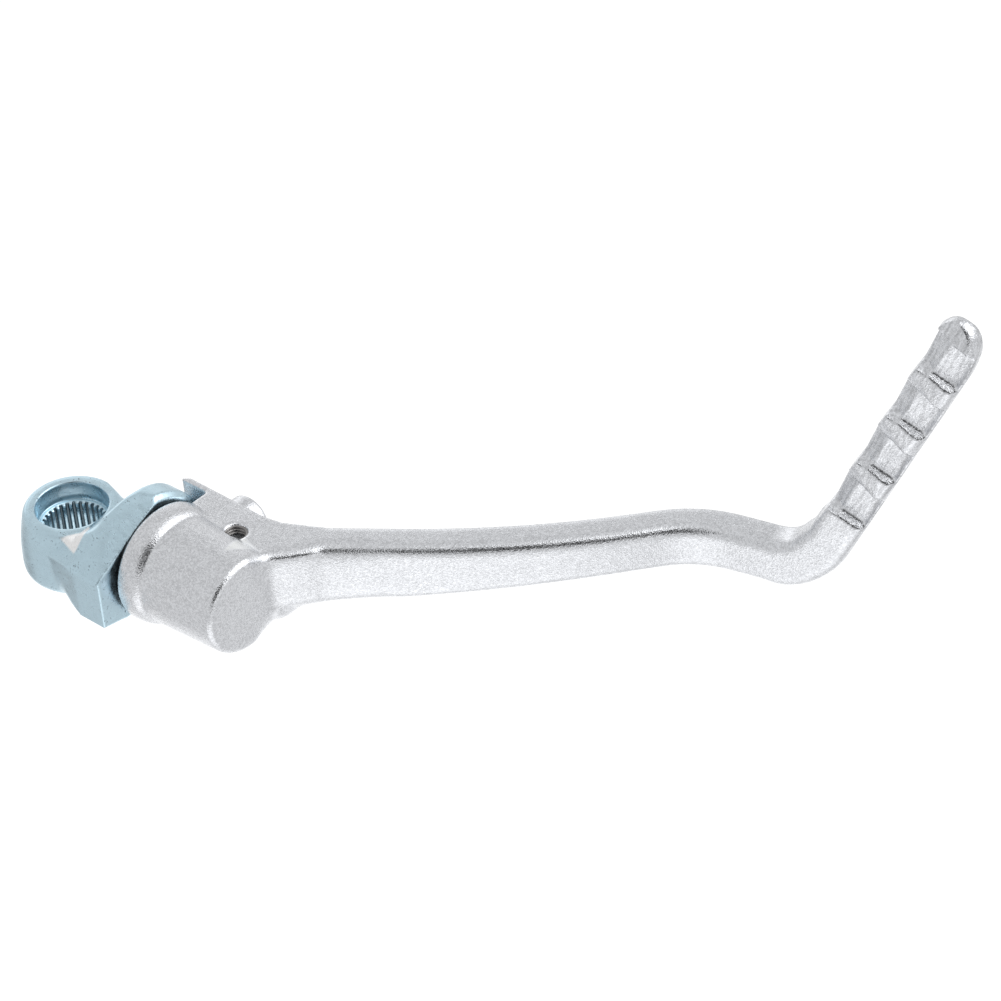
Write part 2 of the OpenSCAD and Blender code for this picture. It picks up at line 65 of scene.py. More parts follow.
# Direction in which the arm leaves the boss, in degrees, and the point that its root is shaped from: x, and y
# from the pin's axis
ARM_TURN = 35.8
ARM_ROOT_X = 59.9
ARM_ROOT_Y = 18.95
# Painted highlights, each inside a few flat edges: a point on each edge, and the direction inward
PLATE_HIGHLIGHT = (
    ((48.9, 16.6, 0.0), (-0.305, -0.952, 0.0)),
    ((57.5, 13.85, 0.0), (-0.895, 0.445, 0.0)),
    ((52.9, 4.6, 0.0), (0.949, 0.316, 0.0)),
)
HUB_HIGHLIGHT = (
    ((7.0, -11.4, 19.5), (0.803, -0.596, 0.0)),
    ((7.0, -11.4, 19.5), (0.258, 0.854, 0.453)),
    ((12.05, -4.6, 19.5), (-0.7125, -0.207, 0.671)),
    ((12.05, -4.6, 19.5), (-0.596, -0.803, 0.0)),
    ((15.0, 0.0, 0.0), (-1.0, 0.0, 0.0)),
)
# Direction along the pedal, from the bend to its tip, and how far along it the draw marks fade in, in metres
PEDAL_WAY = (0.362, 0.261, 0.895)
PEDAL_START = 0.120
PEDAL_FULL = 0.128
# Straight bevel across the flange's upper front: a point behind its front edge, the direction that it faces,
# and the thickness, length and width of the block that is taken away
FLANGE_BEVEL = ((14.3, PIN_Y - 9.2, PIN_Z + 17.67), (0.45, -0.4625, 0.887))
BEVEL_BLOCK = (12.0, 44.0, 30.0)
# Turned chamfer on the flange's upper rear edge: its section as pairs of x and radius, and its turns in
# degrees
CHAMFER_SECTION = ((27.4, 16.7), (27.4, 20.5), (23.6, 20.5), (25.5, 18.6))
CHAMFER_TURNS = np.linspace(10, 108, 41)
# The knuckle's forging is left open within this radius, where the bore's own surface takes its place
BORE_OPENING = 11.3
# Thread of the plate's hole: its mean radius, the height of its ridge to either side, and the radius of its
# mouth
THREAD_RADIUS = 2.72
THREAD_RIDGE = 0.27
THREAD_MOUTH = 3.2


def to_linear(value):
    """One sRGB channel, 0 to 1, made linear."""
    return value / 12.92 if value <= 0.04045 else ((value + 0.055) / 1.055) ** 2.4


def colour(code, alpha=1.0):
    """A hex sRGB colour such as "#a0b0c0" as a linear tuple."""
    return tuple(to_linear(int(code[i : i + 2], 16) / 255) for i in (1, 3, 5)) + (alpha,)


class KickLeverSizes(bpy.types.PropertyGroup):
    """Sizes of the surfaces that are added to the solids."""

    spline_root: FloatProperty(
        name="Spline root radius",
        description="Radius of the bore across the roots of its teeth",
        default=9.0 * MM,
        unit="LENGTH",
    )
    tooth_height: FloatProperty(
        name="Tooth height",
        description="Height of a spline tooth",
        default=0.8 * MM,
        unit="LENGTH",
    )
    teeth: IntProperty(name="Teeth", description="Number of spline teeth", default=30, min=12, max=48)
    counterbore: FloatProperty(
        name="Counterbore radius",
        description="Radius of the plain step above the teeth",
        default=10.0 * MM,
        unit="LENGTH",
    )
    counterbore_depth: FloatProperty(
        name="Counterbore depth",
        description="Depth of the plain step above the teeth",
        default=5.8 * MM,
        unit="LENGTH",
    )
    thread_pitch: FloatProperty(
        name="Thread pitch",
        description="Pitch of the thread in the plate's hole",
        default=1.0 * MM,
        unit="LENGTH",
    )
    steel_voxel: FloatProperty(
        name="Steel detail",
        description="Size of the mesh's cells on the knuckle",
        default=0.34 * MM,
        unit="LENGTH",
    )
    alloy_voxel: FloatProperty(
        name="Aluminium detail",
        description="Size of the mesh's cells on the lever",
        default=0.42 * MM,
        unit="LENGTH",
    )


class KickLeverColours(bpy.types.PropertyGroup):
    """Colours of the finishes."""

    steel: FloatVectorProperty(
        name="Zinc plate",
        description="Colour of the blue zinc plate",
        subtype="COLOR",
        size=4,
        min=0.0,
        max=1.0,
        default=colour("#cbe4f0"),
    )
    alloy: FloatVectorProperty(
        name="Anodised aluminium",
        description="Colour of the blasted aluminium",
        subtype="COLOR",
        size=4,
        min=0.0,
        max=1.0,
        default=colour("#f0f2f6"),
    )
    rubber: FloatVectorProperty(
        name="Rubber",
        description="Colour of the seal",
        subtype="COLOR",
        size=4,
        min=0.0,
        max=1.0,
        default=colour("#151617"),
    )
    bright: FloatVectorProperty(
        name="Bright steel",
        description="Colour of the bolt, the ball and the plug",
        subtype="COLOR",
        size=4,
        min=0.0,
        max=1.0,
        default=colour("#dcdfe2"),
    )


def sizes():
    """The sizes set in the panel."""
    return bpy.context.scene.kick_lever_sizes


def colours():
    """The colours set in the panel."""
    return bpy.context.scene.kick_lever_colours


# Materials


def feed(tree, node, **links):
    """Links a node's sockets, given by name or as _number, to other nodes' sockets, or sets their values."""
    for key, value in links.items():
        socket = node.inputs[int(key[1:])] if key[0] == "_" else node.inputs[key.replace("__", " ")]
        if isinstance(value, bpy.types.NodeSocket):
            tree.links.new(value, socket)
        else:
            socket.default_value = value
    return node


def add(tree, kind, settings=None, **links):
    """Adds one node with its settings and feeds its sockets."""
    node = tree.nodes.new(kind)
    for key, value in (settings or {}).items():
        setattr(node, key, value)
    return feed(tree, node, **links)


def object_place(tree):
    """The place of a point in its object, in metres."""
    return add(tree, "ShaderNodeTexCoord").outputs["Object"]


def noise(tree, place, size, detail, rough=0.5):
    """A cloudy pattern from 0 to 1 whose cells are size millimetres."""
    links = {"Vector": place, "Scale": per_mm(size), "Detail": detail, "Roughness": rough}
    return add(tree, "ShaderNodeTexNoise", **links).outputs["Fac"]


def mapped(tree, value, low, high, start, end):
    """A value whose range from low to high becomes the range from start to end, and stays within it."""
    return add(tree, "ShaderNodeMapRange", Value=value, _1=low, _2=high, _3=start, _4=end).outputs[0]


def soft_step(tree, value, low, high, top=1.0):
    """0 at low, top at high, and a smooth cubic between."""
    kind = {"interpolation_type": "SMOOTHSTEP"}
    return add(tree, "ShaderNodeMapRange", kind, Value=value, _1=low, _2=high, _3=0.0, _4=top).outputs[0]


def arithmetic(tree, operation, *values):
    """One operation on two or three values."""
    links = {f"_{k}": value for k, value in enumerate(values)}
    return add(tree, "ShaderNodeMath", {"operation": operation}, **links).outputs[0]


def joined(tree, operation, values):
    """Several values taken together by one operation, such as their sum."""
    total, *rest = values
    for value in rest:
        total = arithmetic(tree, operation, total, value)
    return total


def along(tree, place, way):
    """How far a place lies along a direction."""
    return add(tree, "ShaderNodeVectorMath", {"operation": "DOT_PRODUCT"}, _0=place, _1=way).outputs["Value"]


def mixed(tree, share, first, second):
    """The first number where share is 0 and the second where it is 1."""
    return add(tree, "ShaderNodeMix", {"data_type": "FLOAT"}, _0=share, _2=first, _3=second).outputs[0]


def mixed_colours(tree, share, first, second, blend="MIX"):
    """The first colour where share is 0 and the second, or their blend, where it is 1."""
    kind = {"data_type": "RGBA", "blend_type": blend}
    return add(tree, "ShaderNodeMix", kind, _0=share, _6=first, _7=second).outputs[2]


def new_material(name):
    """A material whose one shader is joined to its output, with its tree and its shader."""
    material = bpy.data.materials.new(name)
    material.use_nodes = True
    tree = material.node_tree
    tree.nodes.clear()
    shader = tree.nodes.new("ShaderNodeBsdfPrincipled")
    out = tree.nodes.new("ShaderNodeOutputMaterial")
    tree.links.new(shader.outputs[0], out.inputs[0])
    return material, tree, shader


def per_mm(size):
    """Scale of a pattern in Object coordinates whose cell is size millimetres."""
    return 1.0 / (size * MM)


def inside(tree, place, edges):
    """1 inside all flat edges and 0 outside, with a soft step 0.8 mm wide."""
    sides = []
    for point, inward in edges:
        edge = float(np.dot(point, inward)) * MM
        sides.append(soft_step(tree, along(tree, place, inward), edge - 0.2 * MM, edge + 0.6 * MM))
    return joined(tree, "MULTIPLY", sides)


def blasted_aluminium(tint):
    """Bead blasted and clear anodised forging: satin grey metal, evenly pitted, with a soft shine and a painted
    highlight beside the tapped hole.
    """
    material, tree, shader = new_material("bead blasted anodised aluminium")
    place = object_place(tree)
    # Bead pits are 0.1 to 0.2 mm across; they are drawn 0.38 mm across so that they show
    pits = add(tree, "ShaderNodeTexVoronoi", Vector=place, Scale=per_mm(0.38))
    spread = add(tree, "ShaderNodeSeparateColor", _0=pits.outputs["Color"])
    shade = mapped(tree, spread.outputs[0], 0.0, 1.0, 0.72, 1.0)
    # Slow changes of tone over about 12 mm, where the forging was dressed
    drift = mapped(tree, noise(tree, place, 12.0, 2.0), 0.3, 0.7, 0.97, 1.0)
    # Painted highlight beside the tapped hole: the spot is made lighter and its grain bump is turned off
    highlight_mask = inside(tree, place, PLATE_HIGHLIGHT)
    highlighted = mixed(tree, highlight_mask, shade, 1.12)
    # Draw marks of about 0.9 mm that run along the pedal
    rows = [(-0.585, 0.811, 0.0), (-0.726, -0.524, 0.446), tuple(0.06 * w for w in PEDAL_WAY)]
    parts = [along(tree, place, row) for row in rows]
    stretched = add(tree, "ShaderNodeCombineXYZ", _0=parts[0], _1=parts[1], _2=parts[2])
    streak = mapped(tree, noise(tree, stretched.outputs[0], 0.9, 2.0), 0.35, 0.6, 0.78, 1.06)
    pedal = mapped(tree, along(tree, place, PEDAL_WAY), PEDAL_START, PEDAL_FULL, 0.0, 1.0)
    drawn = mixed(tree, pedal, 1.0, streak)
    level = joined(tree, "MULTIPLY", [highlighted, drawn, drift])
    grey = add(tree, "ShaderNodeCombineColor", _0=level, _1=level, _2=level)
    base = mixed_colours(tree, 1.0, tint, grey.outputs[0], "MULTIPLY")
    rough = mapped(tree, spread.outputs[1], 0.0, 1.0, 0.2, 0.32)
    grain = arithmetic(tree, "MULTIPLY_ADD", highlight_mask, -0.6, 0.6)
    bump = add(tree, "ShaderNodeBump", Height=pits.outputs["Distance"], Strength=grain, Distance=0.0001)
    feed(tree, shader, Base__Color=base, Roughness=rough, Normal=bump.outputs[0], Metallic=1.0)
    return material


def zinc_steel(tint):
    """Blue zinc plate on a forging: smooth, slightly blue, half bright, with fine pits, painted shade in the
    spline's roots and a painted highlight beside the hub's rim.
    """
    material, tree, shader = new_material("zinc plated forged steel")
    place = object_place(tree)
    # Forging scale leaves a skin that waves over about 2.5 mm
    skin = noise(tree, place, 2.5, 4.0, 0.6)
    # Pits of about 0.5 mm, few and dark
    hole = mapped(tree, noise(tree, place, 0.55, 2.0, 0.7), 0.58, 0.68, 0.0, 1.0)
    patch = mapped(tree, skin, 0.5, 0.62, 0.0, 1.0)
    pit = arithmetic(tree, "MULTIPLY", hole, patch)
    cloud = mapped(tree, skin, 0.3, 0.7, 0.0, 1.0)
    darker = tuple(c * 0.88 for c in tint[:3]) + (1.0,)
    body = mixed_colours(tree, cloud, darker, tint)
    pitted = mixed_colours(tree, pit, body, colour("#4d5a62"))
    # Painted shade in the roots of the spline's teeth, read from the bore's root attribute
    root = add(tree, "ShaderNodeAttribute", {"attribute_name": "root"})
    root_shaded = mixed_colours(tree, root.outputs["Fac"], pitted, colour("#2b343a"))
    # Painted highlight beside the hub's rim: white and nearly without metal, so that it reads bright
    facet = inside(tree, place, HUB_HIGHLIGHT)
    base = mixed_colours(tree, facet, root_shaded, colour("#ffffff"))
    metal = arithmetic(tree, "MULTIPLY_ADD", facet, -0.9, 1.0)
    rough = mapped(tree, skin, 0.3, 0.7, 0.24, 0.36)
    height = arithmetic(tree, "SUBTRACT", skin, pit)
    bump = add(tree, "ShaderNodeBump", Height=height, Strength=0.7, Distance=0.00012)
    feed(tree, shader, Base__Color=base, Roughness=rough, Normal=bump.outputs[0], Metallic=metal)
    return material


def plain_steel(name, tint, size, detail, roughest):
    """Bare or bright plated steel of one colour, whose shine varies over cells of a size in millimetres."""
    material, tree, shader = new_material(name)
    rough = mapped(tree, noise(tree, object_place(tree), size, detail), 0.3, 0.7, 0.3, roughest)
    feed(tree, shader, Base__Color=tint, Roughness=rough, Metallic=1.0)
    return material


def bright_steel(tint):
    """Turned and bright plated steel: satin, with faint marks about 0.8 mm across."""
    return plain_steel("bright plated turned steel", tint, 0.8, 2.0, 0.42)


def spring_wire():
    """Bare spring wire: dark drawn steel with an uneven shine."""
    return plain_steel("drawn spring wire", colour("#85898d"), 0.5, 3.0, 0.45)


def seal_rubber(tint):
    """Moulded nitrile rubber: black and matt with a faint grain of about 0.3 mm."""
    material, tree, shader = new_material("moulded nitrile rubber")
    grain = noise(tree, object_place(tree), 0.3, 2.0)
    bump = add(tree, "ShaderNodeBump", Height=grain, Strength=0.2, Distance=0.00005)
    feed(tree, shader, Base__Color=tint, Roughness=0.62, Normal=bump.outputs[0])
    return material


MATERIALS = {}


def material(name):
    """The finish of that name, made on first use."""
    makers = {
        "aluminium": lambda: blasted_aluminium(tuple(colours().alloy)),
        "steel": lambda: zinc_steel(tuple(colours().steel)),
        "bright": lambda: bright_steel(tuple(colours().bright)),
        "cut": lambda: bright_steel(colour("#8f8d8c")),
        "wire": spring_wire,
        "rubber": lambda: seal_rubber(tuple(colours().rubber)),
    }
    if name not in MATERIALS:
        MATERIALS[name] = makers[name]()
    return MATERIALS[name]


# Meshes


def put(name, points, faces, finish, smooth=True):
    """A mesh object at the origin from points in millimetres and faces, with its finish."""
    mesh = bpy.data.meshes.new(name)
    mesh.from_pydata((np.asarray(points, float) * MM).tolist(), [], np.asarray(faces).tolist())
    mesh.polygons.foreach_set("use_smooth", np.full(len(mesh.polygons), smooth))
    mesh.materials.append(finish)
    mesh.update()
    thing = bpy.data.objects.new(name, mesh)
    bpy.context.scene.collection.objects.link(thing)
    return thing


def grid_faces(rows, columns):
    """Quads between neighbouring rows and columns of a grid, whose columns close on themselves."""
    first = np.arange(rows - 1)[:, None] * columns
    second = first + columns
    j = np.arange(columns)[None, :]
    k = (j + 1) % columns
    return np.stack([first + j, first + k, second + k, second + j], axis=-1).reshape(-1, 4)


def smooth_step(x, low, high):
    """0 below low, 1 above high, and a smooth cubic between."""
    t = np.clip((x - low) / (high - low), 0.0, 1.0)
    return t * t * (3 - 2 * t)


def closed(name, points, quads):
    """A closed body of quads, turned round if its volume is below zero, so that all face outward."""
    quads = np.asarray(quads)
    a, b, c, d = np.asarray(points, float)[quads].transpose(1, 0, 2)
    volume = np.sum(a * np.cross(b, c)) + np.sum(a * np.cross(c, d))
    return put(name, points, quads[:, ::-1] if volume < 0 else quads, material("steel"), smooth=False)


def wedge(name, face, away, thickness, length, width):
    """A block whose one face is centred on a point and square to a direction, in which it reaches away."""
    square = ((-1, -1), (1, -1), (1, 1), (-1, 1))
    half = np.array([[u, v, w] for w in (0.0, thickness) for u, v in square], float)
    out = np.array(away) / np.linalg.norm(away)
    lengthwise = np.cross(out, (1.0, 0.0, 0.0))
    lengthwise = lengthwise / np.linalg.norm(lengthwise)
    across = np.cross(out, lengthwise)
    points = (
        np.array(face)
        + half[:, :1] * lengthwise * length / 2
        + half[:, 1:2] * across * width / 2
        + half[:, 2:] * out
    )
    quads = [(0, 3, 2, 1), (4, 5, 6, 7), (0, 1, 5, 4), (1, 2, 6, 5), (2, 3, 7, 6), (3, 0, 4, 7)]
    return closed(name, points, quads)


def swept_section(name, section, turns):
    """A body made by turning a four sided section, given as pairs of x and radius, about the pin's axis."""
    angle = np.radians(turns)[:, None]
    x, r = np.array(section, float).T
    points = np.stack([x + 0 * angle, PIN_Y + r * np.cos(angle), PIN_Z + r * np.sin(angle)], axis=-1)
    last = 4 * (len(turns) - 1)
    ends = [(3, 2, 1, 0), (last, last + 1, last + 2, last + 3)]
    return closed(name, points.reshape(-1, 3), np.concatenate([grid_faces(len(turns), 4), ends]))


def remeshed(node, name, cell, cutters=()):
    """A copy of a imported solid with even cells: its doubles are merged, the cutters are taken away from it,
    and it is voxel remeshed."""
    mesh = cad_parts[node].data.copy()
    mesh.name = name
    mesh.materials.clear()
    thing = bpy.data.objects.new(name, mesh)
    bpy.context.scene.collection.objects.link(thing)
    weld = thing.modifiers.new("weld", "WELD")
    weld.merge_threshold = 0.002 * MM
    for cutter in cutters:
        cut = thing.modifiers.new("cut", "BOOLEAN")
        cut.operation = "DIFFERENCE"
        cut.solver = "EXACT"
        cut.object = cutter
    voxels = thing.modifiers.new("cells", "REMESH")
    voxels.mode = "VOXEL"
    voxels.voxel_size = cell
    voxels.use_smooth_shade = True
    graph = bpy.context.evaluated_depsgraph_get()
    graph.update()
    even = bpy.data.meshes.new_from_object(thing.evaluated_get(graph))
    thing.modifiers.clear()
    thing.data = even
    bpy.data.meshes.remove(mesh)
    for cutter in cutters:
        bpy.data.meshes.remove(cutter.data)
    return thing


def points_of(mesh):
    """A mesh's points in millimetres."""
    co = np.empty(len(mesh.vertices) * 3)
    mesh.vertices.foreach_get("co", co)
    return co.reshape(-1, 3) / MM


def relax(thing, rounds, share):
    """Rounds a mesh's edges as a forging's are: in each round, every point moves towards the mean of its
    neighbours by its own share of the way."""
    mesh = thing.data
    co = points_of(mesh)
    ends = np.empty(len(mesh.edges) * 2, np.int64)
    mesh.edges.foreach_get("vertices", ends)
    a, b = ends.reshape(-1, 2).T
    n = len(co)
    links = (np.bincount(a, minlength=n) + np.bincount(b, minlength=n)).clip(1)
    part = share(co)[:, None]
    for _ in range(rounds):
        mean = np.stack(
            [
                (np.bincount(a, co[b, k], minlength=n) + np.bincount(b, co[a, k], minlength=n)) / links
                for k in range(3)
            ],
            axis=1,
        )
        co = co + part * (mean - co)
    mesh.vertices.foreach_set("co", (co * MM).ravel())
    mesh.update()


def remove_points(thing, unwanted):
    """Deletes the points of a mesh for which unwanted(points) is true, with their faces."""
    mesh = thing.data
    gone = unwanted(points_of(mesh))
    counts = np.empty(len(mesh.polygons), np.int64)
    mesh.polygons.foreach_get("loop_total", counts)
    corners = np.empty(len(mesh.loops), np.int64)
    mesh.loops.foreach_get("vertex_index", corners)
    owner = np.repeat(np.arange(len(counts)), counts)
    bad = np.bincount(owner, gone[corners], minlength=len(counts)) > 0
    keep = ~bad[owner]
    kept_counts = counts[~bad]
    new_index = np.cumsum(~gone) - 1
    used = new_index[corners[keep]]
    co = points_of(mesh)[~gone] * MM
    fresh = bpy.data.meshes.new(mesh.name)
    fresh.vertices.add(len(co))
    fresh.vertices.foreach_set("co", co.ravel())
    fresh.loops.add(len(used))
    fresh.loops.foreach_set("vertex_index", used)
    fresh.polygons.add(len(kept_counts))
    fresh.polygons.foreach_set("loop_start", np.concatenate([[0], np.cumsum(kept_counts)[:-1]]))
    fresh.polygons.foreach_set("use_smooth", np.ones(len(kept_counts), bool))
    fresh.update(calc_edges=True)
    fresh.validate()
    thing.data = fresh
    bpy.data.meshes.remove(mesh)


def hub_polar(co):
    """Distance of points from the hub's axis, and their turn round it in degrees."""
    return np.hypot(co[:, 0], co[:, 1]), np.degrees(np.arctan2(co[:, 1], co[:, 0]))


def from_pin(co):
    """Points as x, and as y and z from the pin's axis."""
    return co[:, 0], co[:, 1] - PIN_Y, co[:, 2] - PIN_Z


def ahead_of_root(x, y):
    """Distance in front of a line through the arm's root, along the arm."""
    turn = np.radians(ARM_TURN)
    return (x - ARM_ROOT_X) * np.sin(turn) - (y - ARM_ROOT_Y) * np.cos(turn)


def finish_forging(thing, finish, body, node):
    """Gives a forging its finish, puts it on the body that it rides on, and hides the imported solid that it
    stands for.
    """
    thing.data.materials.clear()
    thing.data.materials.append(material(finish))
    thing.data.polygons.foreach_set("use_smooth", np.ones(len(thing.data.polygons), bool))
    thing.data.update()
    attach(thing, body)
    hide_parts(node)


# Pieces


class KICKLEVER_OT_knuckle(bpy.types.Operator):
    """Knuckle forging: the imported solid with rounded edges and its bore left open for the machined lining"""

    bl_idname = "kicklever.knuckle"
    bl_label = "Knuckle"

    def execute(self, context):
        # The block's lower edge meets the front face of the flange, and it ends above the pin
        bevel = wedge("bevel_cutter", *FLANGE_BEVEL, *BEVEL_BLOCK)
        chamfer = swept_section("chamfer_cutter", CHAMFER_SECTION, CHAMFER_TURNS)
        thing = remeshed("knuckle", "knuckle_forging", sizes().steel_voxel, (bevel, chamfer))

        def lining_clear(co):
            """0 on the pivot pin and beside the bore, where the turned lining meets the forging."""
            radius, _ = hub_polar(co)
            return (1 - smooth_step(co[:, 0], 26.9, 27.3)) * smooth_step(radius, 12.2, 13.4)

        def edges(co):
            """Everywhere but on the pin and beside the bore."""
            return 0.2 * lining_clear(co)

        def flank(co):
            """The flange's upper front behind its edge, where bevel, flange and web run into one."""
            x, y, z = from_pin(co)
            _, sideways, up = FLANGE_BEVEL[1]
            front = smooth_step(sideways * y + up * z, 8.0, 12.0) * smooth_step(-y, -4.0, 2.0)
            behind = smooth_step(x, 13.0, 16.0) * (1 - smooth_step(x, 24.6, 26.2))
            return 0.5 * front * behind * lining_clear(co)

        def rim(co):
            """The hub's outer edge, but not the flat facet that faces the lug."""
            radius, turn = hub_polar(co)
            facet = smooth_step(turn, -66, -58) * (1 - smooth_step(turn, -18, -10))
            high = smooth_step(co[:, 2], 15.5, 17.5) * (1 - smooth_step(radius, 15.5, 17.5))
            return 0.45 * high * (1 - facet) * lining_clear(co)

        def valley(co):
            """The crease between the hub's side and the web, below the facet, and round the back."""
            radius, turn = hub_polar(co)
            near = 1 - smooth_step(np.abs(radius - 15.0), 2.5, 5.0)
            low = 1 - smooth_step(co[:, 2], 10.5, 13.5)
            back = smooth_step(turn, -14, -4)
            under = smooth_step(co[:, 2], 0.5, 3.0)
            return 0.5 * near * np.maximum(low, back) * under * smooth_step(co[:, 0], 0, 3) * lining_clear(co)

        for rounds, share in ((8, edges), (90, flank), (26, rim), (110, valley)):
            relax(thing, rounds, share)
        remove_points(thing, lambda co: hub_polar(co)[0] < BORE_OPENING)
        finish_forging(thing, "steel", "knuckle", "knuckle")
        return {"FINISHED"}


class KICKLEVER_OT_bore(bpy.types.Operator):
    """Machined bore: counterbore, spline teeth, lead-in cone and the turned rings around both mouths"""

    bl_idname = "kicklever.bore"
    bl_label = "Splined bore"

    def execute(self, context):
        """The surface is a profile turned about the hub's axis. Between the counterbore's floor and the
        lead-in the radius is the root radius less the tooth height times a wave of the angle with flat tops."""
        s = sizes()
        root = s.spline_root / MM
        tooth = s.tooth_height / MM
        step = s.counterbore / MM
        floor = HUB_HEIGHT - s.counterbore_depth / MM
        top = HUB_HEIGHT
        columns = 16 * s.teeth
        angle = np.linspace(0, 2 * np.pi, columns, endpoint=False)
        wave = np.clip(0.5 + 1.05 * np.cos(s.teeth * angle), 0.0, 1.0)
        # Rows of radius, height and the teeth's share of their height, from the upper mouth to the lower
        ring = [
            (12.15, top - 0.06, 0.0),
            (12.0, top + 0.012, 0.0),
            (step + 0.35, top + 0.012, 0.0),
            (step + 0.22, top - 0.05, 0.0),
            (step + 0.05, top - 0.3, 0.0),
            (step, top - 0.5, 0.0),
            (step, floor + 0.15, 0.0),
            (step - 0.12, floor, 0.0),
            (root + 0.15, floor, 0.0),
            (root, floor - 0.12, 0.0),
            (root, floor - 0.3, 0.6),
            (root, floor - 0.6, 1.0),
            (root, 1.9, 1.0),
            (root, 1.1, 0.5),
            (root + 0.05, 0.75, 0.0),
            (root + 0.75, 0.06, 0.0),
            (root + 0.95, 0.0, 0.0),
            (11.6, 0.0, 0.0),
            (11.75, 0.1, 0.0),
        ]
        profile = np.array(ring)
        t = np.arange(len(profile), dtype=float)
        fine = np.linspace(0, len(profile) - 1, (len(profile) - 1) * 3 + 1)
        radius, height, cut = (np.interp(fine, t, profile[:, k]) for k in range(3))
        r = radius[:, None] - tooth * cut[:, None] * wave[None, :]
        heights = np.broadcast_to(height[:, None], r.shape)
        points = np.stack([r * np.cos(angle), r * np.sin(angle), heights], axis=-1)
        thing = put("splined_bore", points.reshape(-1, 3), grid_faces(len(fine), columns), material("steel"))
        # Painted shade: how deep in a tooth's root each point lies, stored as the root attribute that darkens
        # the steel
        depth = cut[:, None] * (1 - smooth_step(wave, 0.1, 0.8))[None, :]
        thing.data.attributes.new("root", "FLOAT", "POINT").data.foreach_set("value", (0.85 * depth).ravel())
        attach(thing, "knuckle")
        return {"FINISHED"}


class KICKLEVER_OT_lever(bpy.types.Operator):
    """Lever forging: boss, plate, arm and pedal with the soft edges of a blasted forging"""

    bl_idname = "kicklever.lever"
    bl_label = "Lever"

    def execute(self, context):
        thing = remeshed("lever", "lever_forging", sizes().alloy_voxel)

        def edges(co):
            """Everywhere but in the pin's bore and at the tapped hole."""
            x, y, z = from_pin(co)
            bore = (1 - smooth_step(np.hypot(y, z), 12.0, 12.6)) * (1 - smooth_step(x, 57.5, 58.5))
            hole = 1 - smooth_step(np.hypot(x - HOLE_X, y - (HOLE_Y - PIN_Y)), 4.0, 5.5)
            return 0.2 * (1 - bore) * (1 - hole)

        def arm(co):
            """The arm and the bend, less on the pedal."""
            x = co[:, 0]
            return 0.4 * smooth_step(x, 62.0, 70.0) * (1 - smooth_step(x, 174.0, 182.0))

        def root(co):
            """The front of the arm's root, where the boss's end flows into the arm."""
            x, y, z = from_pin(co)
            low = 1 - smooth_step(z, -10.0, -8.0)
            near = smooth_step(x, 59.9 - 3.0 * low, 60.5 - low) * (1 - smooth_step(x, 78.0, 88.0))
            level = (1 - smooth_step(z, 7.0, 10.0)) * (0.7 + 0.3 * smooth_step(z, -12.0, -8.5))
            return 0.48 * near * level * smooth_step(ahead_of_root(x, y), 2.0, 4.0) * smooth_step(y, 1.0, 5.0)

        def shoulder(co):
            """The upper front edge from the boss's end to the arm."""
            x, y, z = from_pin(co)
            near = smooth_step(x, 57.0, 60.0) * (1 - smooth_step(x, 74.0, 86.0))
            high = smooth_step(z, 4.0, 7.0)
            return 0.45 * near * high * smooth_step(ahead_of_root(x, y), 0.0, 3.0) * smooth_step(y, 2.0, 6.0)

        for rounds, share in ((6, edges), (10, arm), (120, root), (90, shoulder)):
            relax(thing, rounds, share)
        finish_forging(thing, "aluminium", "lever", "lever")
        return {"FINISHED"}


class KICKLEVER_OT_thread(bpy.types.Operator):
    """Thread in the plate's hole, above the end of the bolt"""

    bl_idname = "kicklever.thread"
    bl_label = "Thread"

    def execute(self, context):
        """Each point's radius is the mean radius plus a cosine of height over pitch less the angle's share of
        a turn, which makes one helical ridge per pitch."""
        pitch = sizes().thread_pitch / MM
        columns = 72
        height = np.linspace(BOLT_END - 0.6, PLATE_TOP - 0.55, 48)
        angle = np.linspace(0, 2 * np.pi, columns, endpoint=False)
        phase = 2 * np.pi * height[:, None] / pitch - angle[None, :]
        radius = THREAD_RADIUS + THREAD_RIDGE * np.cos(phase)
        radius[-1] = THREAD_MOUTH
        x = HOLE_X + radius * np.cos(angle)
        y = HOLE_Y + radius * np.sin(angle)
        points = np.stack([x, y, np.broadcast_to(height[:, None], radius.shape)], axis=-1)
        faces = grid_faces(len(height), columns)[:, ::-1]
        thing = put("plate_thread", points.reshape(-1, 3), faces, material("cut"))
        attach(thing, "lever")
        return {"FINISHED"}


class KICKLEVER_OT_small_parts(bpy.types.Operator):
    """Finishes of the seal, the bolt and the detent's ball, spring and plug"""

    bl_idname = "kicklever.small_parts"
    bl_label = "Small parts"

    def execute(self, context):
        finishes = {
            "seal_ring": "rubber",
            "retaining_bolt": "bright",
            "detent_ball": "bright",
            "detent_spring": "wire",
            "detent_plug": "bright",
        }
        for node, finish in finishes.items():
            node_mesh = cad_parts[node].data
            node_mesh.materials.clear()
            node_mesh.materials.append(material(finish))
        return {"FINISHED"}


# Stage


# The paper floor: its height and half its width in millimetres, and how brightly it glows: a base, and soft
# pools of light, each with its middle, the reach of its edge and of its even middle in metres, and the
# brightness that it adds
FLOOR_Z = -350.0
FLOOR_SPAN = 4000.0
FLOOR_BASE = 0.70
FLOOR_GLOWS = (
    ((0.28, -0.33, -0.35), 0.42, 0.20, 0.57),
    ((-0.235, 0.40, -0.35), 0.52, 0.43, 0.42),
    ((-0.50, -0.02, -0.35), 0.32, 0.05, -0.36),
)

